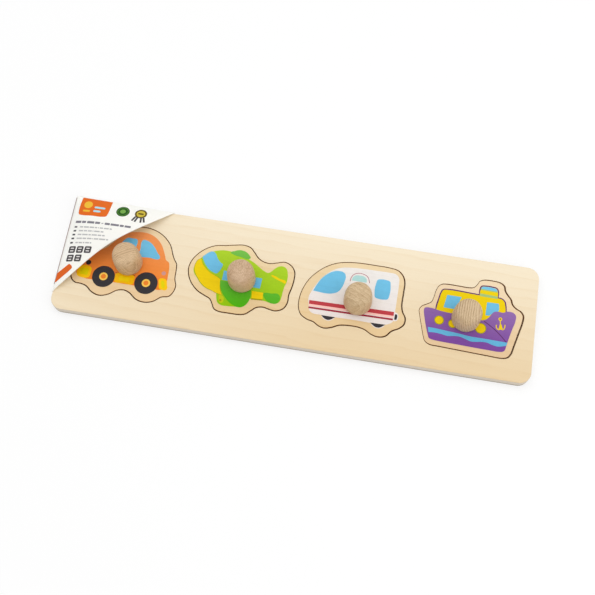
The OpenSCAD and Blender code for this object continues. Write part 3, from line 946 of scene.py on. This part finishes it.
# Each line's height on the board and the lengths of its plain bars
cardLines = [
    (22.0, (3.2, 4.6, 4.0, 2.2, 0.8, 3.0, 4.4, 2.0)), (18.4, (4.2, 3.0, 3.6, 0.8, 5.0, 2.6)),
    (14.8, (3.6, 5.2, 2.2, 4.8, 3.2, 2.4)), (11.2, (5.0, 3.4, 4.2, 0.8, 4.0, 5.4, 2.0)),
    (7.2, (2.4, 3.2, 1.6, 3.6, 1.4))]
cardShapes = [
    ("cardOrange", 1, [(-194.2, 51.2, 1), (-194.2, 36.5), (-193.5, 34.4), (-191.4, 33.6),
        (-181, 33.4), (-171, 33.6), (-168.9, 34.4), (-168.2, 36.5), (-168.2, 51.2, 1)]),
    ("cardAmber", 2, disc(-187.4, 44.2, 3.6)),
    ("cardAmber", 2, bar(-190.6, -184.2, 37.8, 1.8, 0.6)),
    ("cardSky", 2, bar(-181.4, -172.0, 42.4, 2.0, 0.7)),
    ("cardSky", 2, bar(-181.4, -175.0, 38.4, 2.0, 0.7)),
    ("cardGreen", 1, disc(-156.5, 42.4, 5.6)),
    ("cardLeaf", 2, disc(-156.5, 42.4, 4.6)),
    ("cardGreen", 3, disc(-156.5, 42.4, 4.3)),
    ("cardLeaf", 4, disc(-156.5, 42.4, 2.3)),
    ("cardBronze", 1, disc(-141.0, 43.0, 5.1)),
    ("cardGold", 2, disc(-141.0, 43.0, 3.6)),
    ("cardBronze", 3, bar(-143.4, -138.6, 43.0, 1.8, 0.5)),
    ("cardOrange", 1, [(-198.5, -20.4, 1), (-190.2, -12.9, 1), (-189.2, -12.4), (-188.0, -12.8),
        (-186.0, -14.8), (-185.6, -15.8), (-186.2, -17.0), (-197.6, -28.6, 1), (-198.5, -28.6, 1)]),
    # painted shade: a thin grey-brown line along the left fold, where the fold's round turns away into
    # shade
    ("cardFoldShade", 1, [(-200.45, 50.4, 1), (-199.65, 50.4, 1), (-198.4, -30.0, 1),
        (-199.1, -30.0, 1)]),
]
for x0, x1, y1 in ((-144.4, -146.4, 34.0), (-142.4, -143.8, 33.2), (-139.6, -138.6, 33.2),
        (-137.6, -135.8, 34.0)):
    cardShapes.append(("cardDark", 1, stroke([(x0, 39.2), (x1, y1)], 1.6)))
for x, tall, widths in ((-194.2, 2.1, (5.2, 3.6)), (-183.4, 2.1, (6.4, 4.4)),
        (-170.6, 0.7, (1.8,)), (-167.6, 2.1, (4.4, 7.2, 3.4, 5.2))):
    addBars("cardSlate", x, 26.8, tall, widths, 0.8)
for y, widths in cardLines:
    addBars("cardDark", -194.0, y, 1.5, (2.6,), 0.0)
    addBars("cardGrey", -189.0, y, 1.2, widths, 0.7)
for x, y in ((-190.3, 0.8), (-182.9, 0.8), (-175.5, 0.8), (-190.1, -7.0), (-182.6, -7.0)):
    cardShapes.append(("cardDark", 1, bar(x - 3.1, x + 3.1, y, 6.2, 0.7)))
    for up in (1.2, -1.2):
        cardShapes.append(("cardWhite", 2, bar(x - 1.6, x + 1.6, y + up, 0.9)))

makeCardSheet(cardShape)
printShapes("label", cardShapes, drapeOnCard)
print("card made")


def seenDirectly(tree):  # 1 where the camera sees it, also by way of metal or glass
    seen = addNode(tree, "ShaderNodeLightPath").outputs
    mirrored = calc(tree, "MAXIMUM", seen["Is Glossy Ray"], seen["Is Transmission Ray"])
    return calc(tree, "MAXIMUM", seen["Is Camera Ray"], mirrored)


floorLook = {"size": 6.0, "colour": tone(250, 250, 250), "mottle": tone(248, 248, 248),
    "rough": 0.9, "glow": 0.65, "fade": (500.0, 1200.0)}  # where it turns plain white, in mm


def makeFloor(look):
    bm = bmesh.new()
    bmesh.ops.create_grid(bm, x_segments=1, y_segments=1, size=look["size"] / 2)
    mesh = meshFrom(bm, "floor")
    material, tree, shader, spot = startMaterial("floorPaper")
    soft = addNode(tree, "ShaderNodeTexNoise", {"Vector": spot, "Scale": 0.01, "Detail": 2.0})
    colour = mixColour(tree, soft.outputs["Fac"], look["colour"], look["mottle"])
    setInputs(tree, shader, {"Base Color": colour, "Roughness": look["rough"],
        "Specular IOR Level": 0.0})
    away = addNode(tree, "ShaderNodeVectorMath", {0: spot}, operation="LENGTH")
    fade = remap(tree, away.outputs["Value"], (look["glow"], 1.0), look["fade"])
    glow = addNode(tree, "ShaderNodeEmission", {"Color": (1, 1, 1, 1), "Strength": 1.0})
    blend = addNode(tree, "ShaderNodeMixShader", {
        0: calc(tree, "MULTIPLY", seenDirectly(tree), fade), 1: shader.outputs[0],
        2: glow.outputs[0]})
    setInputs(tree, tree.nodes["Material Output"], {"Surface": blend.outputs[0]})
    mesh.materials.append(material)
    floor = addObject("floor", mesh)


# Lamps aimed at the board's middle: place and size in metres, power in watts
lamps = {
    "keyLamp": {"place": (-0.3, 0.3, 1.35), "size": 1.3, "power": 4.5},
    "fillLamp": {"place": (0.95, -0.25, 0.9), "size": 1.2, "power": 3.8},
}
worldLight = 0.78


def makeLamps():
    for name, look in lamps.items():
        data = bpy.data.lights.new(name, "AREA")
        data.energy = look["power"]
        data.size = look["size"]
        lamp = addObject(name, data)
        lamp.matrix_world = aimed(Vector(look["place"]), Vector())
    world = bpy.data.worlds.new("studio")
    bpy.context.scene.world = world
    world.use_nodes = True
    tree = world.node_tree
    setInputs(tree, tree.nodes["Background"], {"Color": (1, 1, 1, 1),
        "Strength": remap(tree, seenDirectly(tree), (worldLight, 1.0))})


makeFloor(floorLook)
makeLamps()
bpy.context.scene.view_settings.view_transform = "Standard"
